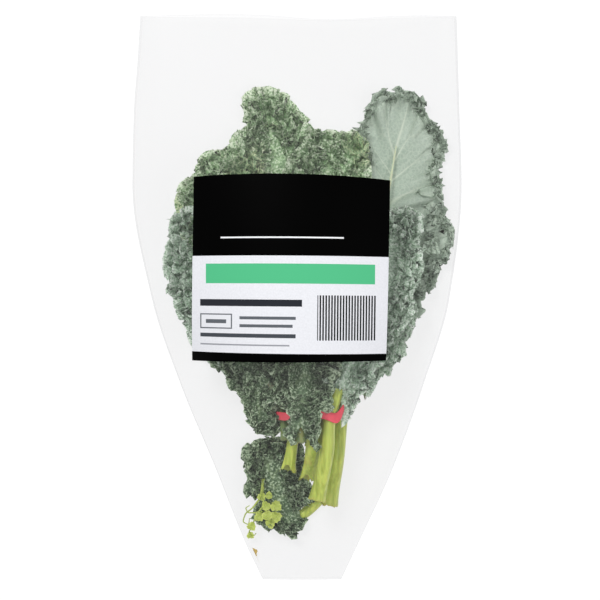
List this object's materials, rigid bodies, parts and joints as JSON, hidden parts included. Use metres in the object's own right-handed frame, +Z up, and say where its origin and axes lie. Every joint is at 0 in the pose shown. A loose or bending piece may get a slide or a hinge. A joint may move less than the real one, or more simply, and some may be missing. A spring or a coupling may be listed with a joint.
{
  "type": "kale bunch",
  "caption": "Bunch of curly kale with bare stalks held by a rubber band, lying in a clear tapered film sleeve with a plain label.",
  "frame": {"origin": "on the surface it rests on, under the middle of the bounding box", "axes": "+Y from the cut stalks towards the leaf tips, +Z up from the flat back film to the label, +X to the right seen from above"},
  "size_m": [0.231, 0.395, 0.0695],
  "materials": {
    "film": "clear film, gently creased",
    "label": "printed paper, satin",
    "band": "coral red rubber, satin",
    "leaf": "dark green leaf with a soft bloom",
    "leaf_back": "pale green underside of a leaf, veined",
    "stalk": "yellow-green fresh stalk, ribbed",
    "shoot": "pale yellow-green young leaf",
    "scrap": "yellowed dry scrap of leaf"
  },
  "bodies": {
    "root": {"sleeve": "film", "label": "label", "tie_band": "band", "leaf_01_blade": "leaf", "leaf_01_stalk": "stalk", "leaf_02_blade": "leaf_back", "leaf_02_stalk": "stalk", "leaf_03_blade": "leaf", "leaf_03_stalk": "stalk", "leaf_04_blade": "leaf", "leaf_04_stalk": "stalk", "leaf_05_blade": "leaf_back", "leaf_05_stalk": "stalk", "leaf_06_blade": "leaf", "leaf_06_stalk": "stalk", "leaf_07_blade": "leaf", "leaf_07_stalk": "stalk", "leaf_08_blade": "leaf", "leaf_08_stalk": "stalk", "leaf_09_blade": "leaf", "leaf_09_stalk": "stalk", "leaf_10_blade": "leaf", "leaf_10_stalk": "stalk", "leaf_11_blade": "leaf", "leaf_11_stalk": "stalk", "leaf_12_blade": "leaf", "leaf_12_stalk": "stalk", "low_leaf_blade": "leaf", "low_leaf_stalk": "stalk", "shoot_blade": "shoot", "shoot_stalk": "shoot", "leaf_scrap": "scrap"}
  },
  "joints": []
}
